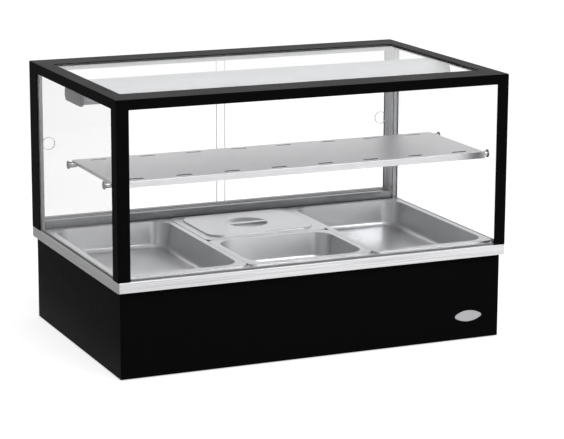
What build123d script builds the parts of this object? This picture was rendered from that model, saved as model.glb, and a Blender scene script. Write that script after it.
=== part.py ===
from build123d import *
import os

# Heated display case. Millimetres, +X to the right, +Y to the back, +Z up.
# The origin is on the floor, under the middle of the case.

# Overall heights and the feet; the width and depth follow from the pans
case_height = 655.0
base_height = 210.0
foot_diameter = 40.0
foot_gap = 7.0
foot_stud_diameter = 6.0
foot_stud_length = 10.0

# Base: a painted sheet shell, set in under the deck's rim
shell_sheet = 1.5
shell_lift = 3.0
shell_inset_side = 8.0
shell_inset_front = 12.0
shell_inset_back = 13.5
shell_flange = 15.0
shell_top_flange = 10.0
panel_sheet = 1.5
panel_gap = 1.5
panel_screw_inset = 20.0
floor_screw_inset = 100.0

# Deck: a stainless sheet with a turned-down rim that returns under the edge
deck_sheet = 1.5
rim_height = 25.0
deck_return = 16.0
deck_corner = 4.0
deck_bend = 1.5
deck_opening_corner = 15.0

# Pans of the standard catering size, and their row in the deck
pan_long = 530.0
pan_short = 325.0
pan_depth = 65.0
pan_sheet = 0.8
pan_rim = 14.0
pan_lip = 4.0
pan_taper = 10.0
pan_corner = 45.0
pan_rim_corner = 18.0
pan_foot_radius = 12.0
pan_gap = 0.8
pan_side_margin = 11.7
pan_front_margin = 37.0
pan_rest = 10.0
pan_back_gap = 10.0
rear_strip = 3.0

# Lid of the rear half pan, with a sunk round handle
lid_sheet = 0.8
lid_rise = 4.0
lid_border = 21.0
lid_corner = 38.0
lid_dish_diameter = 108.0
lid_dish_floor_diameter = 84.0
lid_dish_depth = 15.0
lid_grip_width = 16.0
lid_grip_thickness = 5.0

# Heated well under the pans
well_space = 24.0
well_sheet = 1.5
well_flange = 8.0
bar_width = 20.0
bar_leg = 12.0
bar_sheet = 1.5
bar_seat = 4.5
bar_gap = 0.5

# Heating, insulation
element_diameter = 8.0
element_margin = 78.0
element_bend = 50.0
element_pitch = 230.0
clamp_width = 20.0
clamp_thickness = 3.0
clamp_foot = 12.0
clamp_spacing = 300.0
board_thickness = 22.0
end_board_thickness = 25.0
board_gap = 1.5
tray_sheet = 1.5
bulb_diameter = 6.0
bulb_length = 80.0

# Posts and top frame
post_width = 30.0
post_depth = 36.0
post_sheet = 2.0
post_lug = 3.0
post_lug_gap = 0.5
rear_post_width = 17.0
rear_post_depth = 60.0
rear_post_wall = 2.0
rear_post_corner = 1.5
jamb_sheet = 1.0
jamb_flange = 13.0
frame_sheet = 2.0
frame_height = 24.0
frame_side_rail = 38.0
frame_end_rail = 80.0
frame_corner = 2.0

# Glass and its seals
glass = 5.0
glass_clearance = 0.25
glass_lap = 7.5
glass_top_gap = 1.0
top_glass_lap = 12.0
top_seal = 1.0
seal_bed = 1.5
seal_lip_width = 2.0
seal_lip_height = 4.5
bead_width = 2.0
bead_height = 10.0

# Sliding doors and their tracks
track_height = 22.0
track_groove = 8.0
track_groove_depth = 8.0
track_end_gap = 2.0
top_track_crown = 4.0
door_pitch = 15.0
door_overlap = 18.0
door_edge_gap = 3.0
door_hold = 5.0
door_chamfer = 0.8
glide_floor = 2.0
glide_length = 40.0
glide_height = 6.0
glide_clearance = 0.3
glide_inset = 60.0
finger_hole = 30.0
finger_hole_chamfer = 1.2
finger_hole_inset = 32.0
finger_hole_rise = 215.0

# Shelf and its studs
shelf_side_gap = 12.75
shelf_depth = 292.0
shelf_rise = 218.0
shelf_front_gap = 75.0
shelf_flange = 16.0
shelf_end_flange = 8.0
shelf_sheet = 1.2
shelf_bend = 1.0
slot_length = 40.0
slot_width = 10.0
slot_collar = 1.5
slot_collar_sheet = 1.0
slot_pitch = 120.0
slots_in_row = 8
slot_edge = 23.0
stud_edge = 18.0
stud_diameter = 14.0
stud_reach = 18.0
stud_notch_gap = 0.5
stud_cap_diameter = 20.0
stud_cap = 2.0
stud_bolt = 6.0
stud_bolt_length = 14.0
stud_bore_end = 1.0
stud_glass_hole = 9.0

# Lamp hood under the top glass
hood_middle = 12.0
hood_end_gap = 4.75
hood_width = 112.0
hood_foot_width = 98.0
hood_height = 44.0
hood_shoulder = 34.0
hood_sheet = 1.2
hood_lip = 8.0
hood_top_gap = 4.5
cap_thickness = 9.0
cap_lip = 3.0
cap_round = 1.5
reflector_sheet = 0.8
reflector_gap = 1.8
reflector_top_gap = 14.0
lamp_diameter = 12.0
lamp_height = 14.0
holder_length = 24.0
holder_width = 22.0
holder_height = 22.0
holder_grip = 10.0
bracket_sheet = 1.5
bracket_width = 56.0
bracket_drop = 16.0
bracket_gap = 2.5
bracket_screw_pitch = 36.0

# Controls on the back panel
control_gap = 19.5
thermostat_inset = 110.0
thermostat_size = 42.0
thermostat_body_depth = 30.0
spindle_diameter = 6.0
spindle_length = 24.0
spindle_flat = 1.0
spindle_clearance = 0.05
spindle_bore_end = 1.0
panel_hole_gap = 1.0
knob_diameter = 38.0
knob_height = 14.0
knob_gap = 0.4
knob_grip_width = 9.0
knob_grip_inset = 1.0
knob_plate = 5.0
power_switch_step = 80.0
lamp_switch_step = 48.0
indicator_step = 40.0
switch_width = 22.0
switch_height = 30.0
switch_body_depth = 22.0
switch_bezel = 3.0
switch_bezel_thickness = 2.0
switch_wall = 1.5
rocker_gap = 0.8
rocker_end_gap = 1.2
rocker_tilt = 7.0
rocker_rise = 6.5
rocker_dip = 1.5
rocker_depth = 7.0
rocker_draft = 4.0
rocker_pin_diameter = 3.0
rocker_pin_clearance = 0.05
rocker_pin_reach = 1.2
indicator_diameter = 10.0
indicator_bezel = 14.0
indicator_height = 5.0
indicator_depth = 16.0
vent_length = 60.0
vent_width = 5.0
vent_pitch_x = 80.0
vent_pitch_z = 14.0
vent_columns = 4
vent_rows = 4
vent_x = 60.0

# Cable gland and wiring
gland_inset = 70.0
gland_height = 44.0
gland_thread = 16.0
gland_hex = 22.0
gland_hex_length = 6.0
gland_dome = 18.0
gland_dome_length = 8.0
gland_inner_length = 12.0
gland_bore = 8.0
gland_hole_gap = 0.2
terminal_length = 60.0
terminal_depth = 24.0
terminal_height = 22.0
terminal_inset_x = 120.0
terminal_inset_y = 100.0
terminal_pitch = 12.0
terminal_hole = 4.0
wire_diameter = 4.0
wire_bend = 25.0

# Plate on the base front: two arcs with blunted tips around a sunk field
badge_inset = 91.5
badge_height = 61.0
badge_span = 80.0
badge_tall = 27.5
badge_tip = 5.0
badge_thickness = 1.5
badge_round = 0.4
badge_border = 2.5
badge_sink = 0.4

# Screws
screw_diameter = 4.0
screw_head_diameter = 8.0
screw_head_height = 2.0
screw_length = 8.0
screw_fit = 0.05
post_screw_diameter = 5.0
post_screw_head = 9.0
post_screw_head_height = 3.0
post_screw_length = 9.0
rear_post_screw_gap = 1.0

# Places that follow from the sizes
case_width = 3 * pan_short + 2 * pan_gap + 2 * pan_side_margin
case_depth = pan_front_margin + pan_long + pan_back_gap + rear_strip + rear_post_depth
half_pan_long = pan_short
half_pan_short = pan_long / 2
foot_height = shell_lift + shell_sheet
half_width = case_width / 2
front = -case_depth / 2
back = case_depth / 2
deck_top = base_height + rim_height
deck_under = deck_top - deck_sheet
frame_under = case_height - frame_sheet
frame_foot = case_height - frame_height
shell_side = half_width - shell_inset_side
shell_front = front + shell_inset_front
shell_back = back - shell_inset_back
shell_inner_side = shell_side - shell_sheet
shell_inner_front = shell_front + shell_sheet
panel_face = shell_back - shell_sheet
panel_inner = panel_face - panel_sheet
floor_top = shell_lift + shell_sheet + panel_sheet
row_half = half_width - pan_side_margin
column_pitch = pan_short + pan_gap
row_front = front + pan_front_margin
row_middle = row_front + pan_long / 2
opening_half = row_half - pan_rest
opening_front = row_front + pan_rest
opening_back = row_front + pan_long + pan_back_gap
well_floor = deck_top + pan_lip - pan_depth - well_space
well_under = well_floor - well_sheet
well_side = opening_half + well_sheet
well_front = opening_front - well_sheet
well_back = opening_back + well_sheet
element_height = well_under - element_diameter / 2
board_top = element_height - element_diameter / 2 - clamp_thickness - board_gap
tray_top = board_top - board_thickness
tray_under = tray_top - tray_sheet
control_height = tray_under - control_gap - thermostat_size / 2
thermostat_x = thermostat_inset - half_width
power_switch_x = thermostat_x + power_switch_step
lamp_switch_x = power_switch_x + lamp_switch_step
indicator_x = lamp_switch_x + indicator_step
gland_x = half_width - gland_inset
terminal_x = half_width - terminal_inset_x
terminal_y = back - terminal_inset_y
badge_x = half_width - badge_inset
rear_post_front = back - rear_post_depth
glass_set = post_sheet + glass_clearance
front_pane_half = half_width - post_width + glass_lap
side_pane_front = front + post_depth - glass_lap
side_glass_outer = half_width - glass_set
side_glass_inner = side_glass_outer - glass
front_glass_inner = front + glass_set + glass
glass_foot = deck_top + seal_bed
glass_head = frame_under - glass_top_gap
track_front = rear_post_front + rear_post_wall
track_back = back - rear_post_wall
door_middle = (track_front + track_back) / 2
groove_floor = deck_top + track_height - track_groove_depth
door_foot = groove_floor + glide_floor + glide_clearance
door_head = frame_foot + door_hold
door_outer_edge = half_width - rear_post_wall - jamb_sheet - door_edge_gap
inner_door_y = door_middle - door_pitch / 2
outer_door_y = door_middle + door_pitch / 2
rear_post_screw_front = well_back + well_flange + rear_post_screw_gap + post_screw_head / 2
rear_post_screw_back = 2 * door_middle - rear_post_screw_front
finger_hole_height = deck_top + finger_hole_rise
shelf_half = side_glass_inner - shelf_side_gap
shelf_top = deck_top + shelf_rise
shelf_front = front + shelf_front_gap
shelf_back = shelf_front + shelf_depth
stud_height = shelf_top - shelf_sheet - stud_diameter / 2
top_glass_under = frame_under - top_seal - glass
top_glass_side = half_width - frame_side_rail + top_glass_lap
hood_top = top_glass_under - hood_top_gap
hood_foot = hood_top - hood_height
hood_end = side_glass_inner - hood_end_gap
hood_mouth = hood_foot_width - 2 * (hood_sheet + hood_lip)

saved = {}


def save(name, *solids):
    """Keep the solids of one sub-part under its name."""
    saved[name] = solids[0] if len(solids) == 1 else Compound(children=list(solids))


def block(x, y, z):
    """A box between two limits on each axis."""
    limits = (x, y, z)
    middle = [(low + high) / 2 for low, high in limits]
    size = [high - low for low, high in limits]
    return Pos(*middle) * Box(*size)


def bar(start, end, diameter):
    """A round bar between two points on one line."""
    run = Vector(*end) - Vector(*start)
    return extrude(Plane(start, z_dir=run) * Circle(diameter / 2), run.length)


def both_sides(solid):
    """The solid and its mirror image across the middle of the case."""
    return solid, mirror(solid, about=Plane.YZ)


def frame_ring(half_x, low_y, high_y, border, z):
    """A flat ring with a border of even width."""
    outer = block((-half_x, half_x), (low_y, high_y), z)
    inner_x = half_x - border
    return outer - block((-inner_x, inner_x), (low_y + border, high_y - border), z)


def screw(place, direction, length=screw_length, diameter=screw_diameter,
          head=screw_head_diameter, head_height=screw_head_height):
    """A pan-head screw: its head rests at place, its shank runs along direction."""
    seat = Plane(place, z_dir=direction)
    shank = extrude(seat * Circle(diameter / 2), length)
    cap = extrude(seat * Circle(head / 2), -head_height)
    face = cap.edges().sort_by(lambda edge: seat.to_local_coords(edge).center().Z)[0]
    cap = fillet(face, head_height / 2)
    slot = Pos(0, 0, -head_height) * Box(head * 0.7, head_height / 3, head_height)
    return shank + cap - seat.location * slot


def make_base_shell():
    """The painted wrap of the base, with folded edges and windows for the well and panels."""
    shell = block((-shell_side, shell_side), (shell_front, shell_back), (shell_lift, base_height))
    shell = fillet(shell.edges().filter_by(Axis.Z), shell_sheet)
    inner_x = (-shell_inner_side, shell_inner_side)
    inner_y = (shell_inner_front, shell_back - shell_sheet)
    shell -= block(inner_x, inner_y, (shell_lift + shell_sheet, base_height - shell_sheet))
    top_x = shell_side - shell_top_flange
    top_y = (shell_front + shell_flange, shell_back - shell_flange)
    shell -= block((-top_x, top_x), top_y, (base_height - shell_sheet, base_height))
    low_x = shell_side - shell_flange
    shell -= block((-low_x, low_x), top_y, (shell_lift, shell_lift + shell_sheet))
    window_z = (shell_lift + shell_flange, base_height - shell_flange)
    shell -= block((-low_x, low_x), (shell_back - shell_sheet, shell_back), window_z)
    for x, z in panel_screw_places():
        shell -= bar((x, panel_inner, z), (x, shell_back, z), screw_diameter + 2 * screw_fit)
    for x, y in floor_screw_places():
        shell -= bar((x, y, shell_lift), (x, y, floor_top), screw_diameter + 2 * screw_fit)
    save("base_shell", shell)


def panel_screw_places():
    """Where the back panel's screws sit, as x and z."""
    x = shell_side - shell_flange / 2
    low = shell_lift + shell_flange + panel_screw_inset
    high = base_height - shell_flange - panel_screw_inset
    return [(side * x, height) for side in (-1, 1) for height in (low, (low + high) / 2, high)]


def floor_screw_places():
    """Where the bottom plate's screws sit, as x and y."""
    x = shell_side - shell_flange / 2
    first = shell_front + floor_screw_inset
    last = shell_back - floor_screw_inset
    rows = (first, (first + last) / 2, last)
    return [(side * x, row) for side in (-1, 1) for row in rows]


def make_back_panel():
    """The removable back panel with its vents and the holes for the controls."""
    side = shell_inner_side - panel_gap
    z = (floor_top + panel_gap, base_height - shell_sheet - panel_gap)
    panel = block((-side, side), (panel_inner, panel_face), z)

    def hole(x, z, diameter):
        return bar((x, panel_inner, z), (x, panel_face, z), diameter)

    panel -= hole(thermostat_x, control_height, spindle_diameter + 2 * panel_hole_gap)
    panel -= hole(indicator_x, control_height, indicator_diameter)
    panel -= hole(gland_x, gland_height, gland_thread + 2 * gland_hole_gap)
    for x in (power_switch_x, lamp_switch_x):
        sides = (x - switch_width / 2, x + switch_width / 2)
        heights = (control_height - switch_height / 2, control_height + switch_height / 2)
        panel -= block(sides, (panel_inner, panel_face), heights)
    for x, z in panel_screw_places():
        panel -= hole(x, z, screw_diameter + 2 * screw_fit)
    vent = Plane.XZ * SlotOverall(vent_length, vent_width)
    vent = extrude(vent, panel_sheet, both=True)
    for column in range(vent_columns):
        for row in range(vent_rows):
            x = vent_x + column * vent_pitch_x
            z = control_height + (row - (vent_rows - 1) / 2) * vent_pitch_z
            panel -= Pos(x, (panel_inner + panel_face) / 2, z) * vent
    save("back_panel", panel)


def foot_places():
    """Where the feet stand, as x and y."""
    inset = shell_flange + foot_gap + foot_diameter / 2
    x = shell_side - inset
    rows = (shell_front + inset, shell_back - inset)
    return [(side * x, row) for side in (-1, 1) for row in rows]


def make_bottom_plate():
    """The plate that closes the base from below and carries the feet."""
    side = shell_inner_side - panel_gap
    rows = (shell_inner_front + panel_gap, panel_inner - panel_gap)
    plate = block((-side, side), rows, (shell_lift + shell_sheet, floor_top))
    for x, y in floor_screw_places():
        plate -= bar((x, y, shell_lift), (x, y, floor_top), screw_diameter + 2 * screw_fit)
    for x, y in foot_places():
        plate -= bar((x, y, shell_lift), (x, y, floor_top), foot_stud_diameter + 2 * screw_fit)
    save("bottom_plate", plate)


def make_feet():
    """Four rubber pads, each with a stud up through the bottom plate."""
    feet = []
    for x, y in foot_places():
        pad = bar((x, y, 0), (x, y, foot_height), foot_diameter)
        pad = fillet(pad.edges().sort_by(Axis.Z)[0], foot_height / 4)
        stud_top = foot_height + foot_stud_length
        feet.append(pad + bar((x, y, foot_height), (x, y, stud_top), foot_stud_diameter))
    save("rubber_feet", *feet)


def make_deck():
    """The stainless deck: top sheet, turned-down rim, return, well opening and bar notches."""
    deck = block((-half_width, half_width), (front, back), (base_height, deck_top))
    deck = fillet(deck.edges().filter_by(Axis.Z), deck_corner)
    deck = fillet(deck.faces().sort_by(Axis.Z)[-1].edges(), deck_bend)
    inner_x = half_width - deck_sheet
    inner_y = (front + deck_sheet, back - deck_sheet)
    hollow = block((-inner_x, inner_x), inner_y, (base_height + deck_sheet, deck_under))
    deck -= fillet(hollow.edges().filter_by(Axis.Z), deck_corner - deck_sheet)
    mouth_x = inner_x - deck_return
    mouth_y = (inner_y[0] + deck_return, inner_y[1] - deck_return)
    deck -= block((-mouth_x, mouth_x), mouth_y, (base_height, base_height + deck_sheet))
    opening_y = (opening_front, opening_back)
    opening = block((-opening_half, opening_half), opening_y, (deck_under, deck_top))
    deck -= fillet(opening.edges().filter_by(Axis.Z), deck_opening_corner)
    for x in (-column_pitch / 2, column_pitch / 2):
        seat_x = (x - bar_width / 2 - bar_gap, x + bar_width / 2 + bar_gap)
        seat_y = (opening_front - bar_seat - bar_gap, opening_back + bar_seat + bar_gap)
        deck -= block(seat_x, seat_y, (deck_under, deck_top))
    for x, y in front_post_screw_places() + rear_post_screw_places():
        deck -= bar((x, y, deck_under), (x, y, deck_top), post_screw_diameter + 2 * screw_fit)
    save("deck", deck)


def front_post_lug():
    """The left front post's foot lug, as its limits on x and y."""
    outer = -half_width + post_sheet
    return (outer, -front_pane_half - post_lug_gap), (front + post_sheet, side_pane_front - post_lug_gap)


def front_post_screw_places():
    """Where the screws of the front posts' lugs are, as x and y."""
    x, y = [(low + high) / 2 for low, high in front_post_lug()]
    return [(x, y), (-x, y)]


def rear_post_screw_places():
    """Where the screws of the rear posts' feet are, as x and y."""
    x = half_width - rear_post_width / 2 - rear_post_wall / 2
    rows = (rear_post_screw_front, rear_post_screw_back)
    return [(side * x, row) for side in (-1, 1) for row in rows]


def make_well():
    """The heated well: a floor and four walls with top flanges, welded and hung under the deck."""
    wall_z = (well_floor, deck_under)
    flange_z = (deck_under - well_sheet, deck_under)
    rows = (well_front, well_back)
    plates = [block((-well_side, well_side), rows, (well_under, well_floor))]
    side = block((opening_half, well_side), rows, wall_z)
    side += block((well_side, well_side + well_flange), rows, flange_z)
    plates.extend(both_sides(side))
    walls = (
        ((well_front, opening_front), (well_front - well_flange, well_front)),
        ((opening_back, well_back), (well_back, well_back + well_flange)),
    )
    for wall_y, flange_y in walls:
        wall = block((-opening_half, opening_half), wall_y, wall_z)
        plates.append(wall + block((-opening_half, opening_half), flange_y, flange_z))
    save("heated_well", *plates)


def make_bars():
    """Two divider bars across the well and the cross bar between them."""
    legs_y = (opening_front + bar_gap, opening_back - bar_gap)
    ends_y = (opening_front - bar_seat, opening_back + bar_seat)
    low = deck_top - bar_leg
    under = deck_top - bar_sheet
    for name, side in (("divider_bar_left", -1), ("divider_bar_right", 1)):
        x = side * column_pitch / 2
        limits = (x - bar_width / 2, x + bar_width / 2)
        inner = (limits[0] + bar_sheet, limits[1] - bar_sheet)
        divider = block(limits, legs_y, (low, deck_top)) - block(inner, legs_y, (low, under))
        divider += block(limits, ends_y, (under, deck_top))
        reach = (x - side * bar_width / 2, x - side * (bar_width / 2 - bar_seat))
        rows = (row_middle - bar_width / 2 - bar_gap, row_middle + bar_width / 2 + bar_gap)
        divider -= block(sorted(reach), rows, (under, deck_top))
        save(name, divider)
    tab_x = column_pitch / 2 - bar_width / 2 + bar_seat - bar_gap
    leg_x = column_pitch / 2 - bar_width / 2 - bar_gap
    limits = (row_middle - bar_width / 2, row_middle + bar_width / 2)
    inner = (limits[0] + bar_sheet, limits[1] - bar_sheet)
    cross = block((-leg_x, leg_x), limits, (low, deck_top)) - block((-leg_x, leg_x), inner, (low, under))
    cross += block((-tab_x, tab_x), limits, (under, deck_top))
    save("cross_bar", cross)


def make_pan(name, x, y, along_x, along_y):
    """A pressed pan with a flat rim, a turned-down lip and tapered sides."""
    top = deck_top + pan_lip
    bottom = top - pan_depth

    def body(inset, low, high):
        wide = (along_x - 2 * (pan_rim + inset), along_y - 2 * (pan_rim + inset))
        narrow = (wide[0] - 2 * pan_taper, wide[1] - 2 * pan_taper)
        corner = pan_corner - inset
        foot = Pos(x, y, low) * RectangleRounded(*narrow, corner - pan_taper)
        mouth = Pos(x, y, high) * RectangleRounded(*wide, corner)
        solid = loft([foot, mouth], ruled=True)
        return fillet(solid.faces().sort_by(Axis.Z)[0].edges(), pan_foot_radius - inset)

    rim = Pos(x, y, deck_top) * extrude(RectangleRounded(along_x, along_y, pan_rim_corner), pan_lip)
    lip_x = along_x - 2 * pan_sheet
    lip_y = along_y - 2 * pan_sheet
    under = extrude(RectangleRounded(lip_x, lip_y, pan_rim_corner - pan_sheet), pan_lip - pan_sheet)
    pan = rim - Pos(x, y, deck_top) * under
    pan += body(0, bottom, top)
    save(name, pan - body(pan_sheet, bottom + pan_sheet, top))


def make_lid():
    """The half pan's lid: a raised panel with a sunk dish and a bar across it as the handle."""
    x, y = 0, row_middle + (half_pan_short + pan_gap) / 2
    seat = deck_top + pan_lip
    sizes = (half_pan_long, half_pan_short)
    raised = [size - 2 * lid_border for size in sizes]
    hollow = [size - 2 * lid_sheet for size in raised]
    lid = extrude(RectangleRounded(*sizes, pan_rim_corner), lid_sheet)
    panel = extrude(RectangleRounded(*raised, lid_corner), lid_sheet + lid_rise)
    panel = fillet(panel.faces().sort_by(Axis.Z)[-1].edges(), lid_rise / 2)
    lid += panel
    under = extrude(RectangleRounded(*hollow, lid_corner - lid_sheet), lid_rise)
    lid -= fillet(under.faces().sort_by(Axis.Z)[-1].edges(), lid_rise / 4)
    crown = lid_sheet + lid_rise
    mouth = lid_dish_diameter / 2
    floor = lid_dish_floor_diameter / 2
    lid += Pos(0, 0, crown - lid_dish_depth / 2) * Cone(floor, mouth, lid_dish_depth)
    sunk = Cone(floor - lid_sheet, mouth - lid_sheet, lid_dish_depth)
    lid -= Pos(0, 0, crown - lid_dish_depth / 2 + lid_sheet) * sunk
    grip = Pos(0, 0, crown - lid_grip_thickness / 2) * Box(2 * mouth, lid_grip_width, lid_grip_thickness)
    grip &= Pos(0, 0, crown - lid_dish_depth / 2) * Cone(floor, mouth, lid_dish_depth)
    save("half_pan_lid", Pos(x, y, seat) * (lid + grip))


def make_heating():
    """Two hairpin elements under the well, their clamps and the sensor bulb."""
    elements = []
    for side in (-1, 1):
        y = row_middle + side * element_pitch / 2
        low, high = y - element_bend, y + element_bend
        start = opening_half - element_margin
        turn = -start + element_bend
        z = element_height
        path = Line((start, low, z), (turn, low, z))
        path += ThreePointArc((turn, low, z), (turn - element_bend, y, z), (turn, high, z))
        path += Line((turn, high, z), (start, high, z))
        section = Plane((start, low, element_height), z_dir=(-1, 0, 0)) * Circle(element_diameter / 2)
        elements.append(sweep(section, path=path))
    save("heating_elements", *elements)
    clamps = []
    reach = element_pitch / 2 + element_bend + element_diameter / 2 + clamp_foot
    rows = (row_middle - reach, row_middle + reach)
    low = element_height - element_diameter / 2 - clamp_thickness
    for place in (-1, 0, 1):
        x = place * clamp_spacing
        limits = (x - clamp_width / 2, x + clamp_width / 2)
        clamp = block(limits, rows, (low, well_under))
        inner = (rows[0] + clamp_foot - board_gap, rows[1] - clamp_foot + board_gap)
        clamps.append(clamp - block(limits, inner, (low + clamp_thickness, well_under)))
    save("element_clamps", *clamps)
    z = well_under - bulb_diameter / 2
    y = opening_back - element_bend
    end = (thermostat_x + bulb_length, y, z)
    save("sensor_bulb", bar((thermostat_x, y, z), end, bulb_diameter))


def make_insulation():
    """The tray under the well, its insulation board and the boards around the well."""
    side = shell_inner_side
    rows = (shell_inner_front, panel_inner - end_board_thickness / 4)
    tray = block((-side, side), rows, (tray_under, board_top))
    inner_x = side - tray_sheet
    inner_y = (rows[0] + tray_sheet, rows[1] - tray_sheet)
    tray -= block((-inner_x, inner_x), inner_y, (tray_top, board_top))
    save("insulation_tray", tray)
    boards = [block((-inner_x, inner_x), inner_y, (tray_top, board_top))]
    head = base_height - shell_sheet - board_gap
    tall = (board_top, head)
    well_y = (opening_front, opening_back)
    side_x = (well_side + board_gap, side)
    boards.extend(both_sides(block(side_x, well_y, tall)))
    front_y = (shell_inner_front, shell_inner_front + end_board_thickness)
    boards.append(block((-inner_x, inner_x), front_y, tall))
    back_y = (well_back, well_back + end_board_thickness)
    boards.append(block((-inner_x, inner_x), back_y, tall))
    save("insulation_boards", *boards)


def make_top_frame():
    """The painted top frame: a flat ring folded down around its outer edge."""
    frame = block((-half_width, half_width), (front, back), (frame_foot, case_height))
    frame = fillet(frame.edges().filter_by(Axis.Z), frame_corner)
    frame = fillet(frame.faces().sort_by(Axis.Z)[-1].edges(), frame_sheet / 2)
    inner_x = half_width - frame_sheet
    inner_y = (front + frame_sheet, back - frame_sheet)
    frame -= block((-inner_x, inner_x), inner_y, (frame_foot, frame_under))
    hole_x = half_width - frame_side_rail
    hole_y = (front + frame_end_rail, back - frame_end_rail)
    return frame - block((-hole_x, hole_x), hole_y, (frame_under, case_height))


def make_posts(frame):
    """Front posts of folded angle with a screw lug, rear channel posts and their bright jambs."""
    hole = post_screw_diameter + 2 * screw_fit
    outer = -half_width
    z = (deck_top, frame_foot)
    post = block((outer, outer + post_width), (front, front + post_depth), z)
    fold_x = (outer + post_sheet, outer + post_width)
    post -= block(fold_x, (front + post_sheet, front + post_depth), z)
    corner = post.edges().filter_by(Axis.Z).sort_by_distance((outer, front, frame_foot / 2))[0]
    post = fillet(corner, frame_corner)
    lug_z = (deck_top, deck_top + post_lug)
    post += block(*front_post_lug(), lug_z)
    place = front_post_screw_places()[0]
    post -= bar((*place, lug_z[0]), (*place, lug_z[1]), hole)
    left, right = both_sides(post)
    save("front_post_left", left)
    save("front_post_right", right)

    z = (deck_top, frame_under)
    inner = outer + rear_post_width
    web = outer + rear_post_wall
    rear = block((outer, inner), (rear_post_front, back), z)
    rear = fillet(rear.edges().filter_by(Axis.Z).sort_by(Axis.X)[:2], rear_post_corner)
    rear -= block((web, inner), (track_front, track_back), (deck_top + rear_post_wall, z[1]))
    for x, y in rear_post_screw_places():
        if x < 0:
            rear -= bar((x, y, deck_top), (x, y, deck_top + rear_post_wall), hole)
    left, right = both_sides(rear - frame)
    save("rear_post_left", left)
    save("rear_post_right", right)

    jamb_z = (deck_top + rear_post_wall, frame_foot)
    jamb = block((web, web + jamb_flange), (track_front, track_back), jamb_z)
    jamb_y = (track_front + jamb_sheet, track_back - jamb_sheet)
    jamb -= block((web + jamb_sheet, web + jamb_flange), jamb_y, jamb_z)
    save("door_jambs", *both_sides(jamb))


def make_glass():
    """The top, front and side glasses with their seals and glazing beads."""
    top_x = top_glass_side
    top_y = (front + frame_end_rail - top_glass_lap, back - frame_end_rail + top_glass_lap)
    save("top_glass", block((-top_x, top_x), top_y, (top_glass_under, top_glass_under + glass)))
    seal_z = (frame_under - top_seal, frame_under)
    save("top_glass_seal", frame_ring(top_x, *top_y, top_glass_lap, seal_z))

    z = (glass_foot, glass_head)
    span_x = (-front_pane_half, front_pane_half)
    front_y = (front + glass_set, front_glass_inner)
    save("front_glass", block(span_x, front_y, z))

    pane_y = (side_pane_front, rear_post_front - seal_bed)
    pane = block((-side_glass_outer, -side_glass_inner), pane_y, z)
    for y in stud_rows():
        pane -= bar((-half_width, y, stud_height), (0, y, stud_height), stud_glass_hole)
    left, right = both_sides(pane)
    save("side_glass_left", left)
    save("side_glass_right", right)

    def seal(x, y, lip_x, lip_y):
        bed = block(x, y, (deck_top, glass_foot))
        return bed + block(lip_x, lip_y, (deck_top, deck_top + seal_lip_height))

    lip_y = (front_glass_inner, front_glass_inner + seal_lip_width)
    seals = [seal(span_x, front_y, span_x, lip_y)]
    span_y = (side_pane_front, rear_post_front)
    pane_sides = (-side_glass_outer, -side_glass_inner)
    lip_x = (-side_glass_inner, -side_glass_inner + seal_lip_width)
    side_seal = seal(pane_sides, span_y, lip_x, span_y)
    side_seal += block(pane_sides, (pane_y[1], rear_post_front), (deck_top, glass_head))
    save("glass_seals", *seals, *both_sides(side_seal))

    bead_z = (frame_under - bead_height, frame_under)
    bead_y = (front_glass_inner, front_glass_inner + bead_width)
    front_bead = block(span_x, bead_y, bead_z)
    bead_x = (-side_glass_inner, -side_glass_inner + bead_width)
    save("glazing_beads", front_bead, *both_sides(block(bead_x, span_y, bead_z)))


def make_tracks():
    """The door tracks: a grooved rail on the deck and a deeper one under the frame."""
    reach = half_width - rear_post_width - track_end_gap
    rows = (track_front, track_back)
    low = block((-reach, reach), rows, (deck_top, deck_top + track_height))
    top_reach = half_width - rear_post_wall - track_end_gap
    high = block((-top_reach, top_reach), rows, (frame_foot, frame_under))
    top_groove = (frame_foot, frame_under - top_track_crown)
    for y in (inner_door_y, outer_door_y):
        groove = (y - track_groove / 2, y + track_groove / 2)
        low -= block((-reach, reach), groove, (groove_floor, deck_top + track_height))
        high -= block((-top_reach, top_reach), groove, top_groove)
    save("door_track_bottom", low)
    save("door_track_top", high)


def make_doors():
    """Two sliding glass doors, each with a finger hole and two glides in the bottom groove."""
    for name, side, y in (("left", -1, inner_door_y), ("right", 1, outer_door_y)):
        x = sorted((side * door_outer_edge, -side * door_overlap / 2))
        thickness = (y - glass / 2, y + glass / 2)
        door = block(x, thickness, (door_foot, door_head))
        door = chamfer(door.edges(), door_chamfer)
        hole_x = side * (door_outer_edge - finger_hole_inset)
        z = finger_hole_height
        door -= bar((hole_x, thickness[0], z), (hole_x, thickness[1], z), finger_hole)
        door = chamfer(door.edges().filter_by(GeomType.CIRCLE), finger_hole_chamfer)
        save("door_glass_" + name, door)
        half = track_groove / 2 - glide_clearance
        glides = []
        for middle in (x[0] + glide_inset, x[1] - glide_inset):
            limits = (middle - glide_length / 2, middle + glide_length / 2)
            foot = groove_floor + glide_clearance
            glide = block(limits, (y - half, y + half), (foot, foot + glide_height))
            glides.append(glide - door)
        save("door_glides_" + name, *glides)


def stud_rows():
    """Where the shelf studs are along Y."""
    return (shelf_front + stud_edge, shelf_back - stud_edge)


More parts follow.
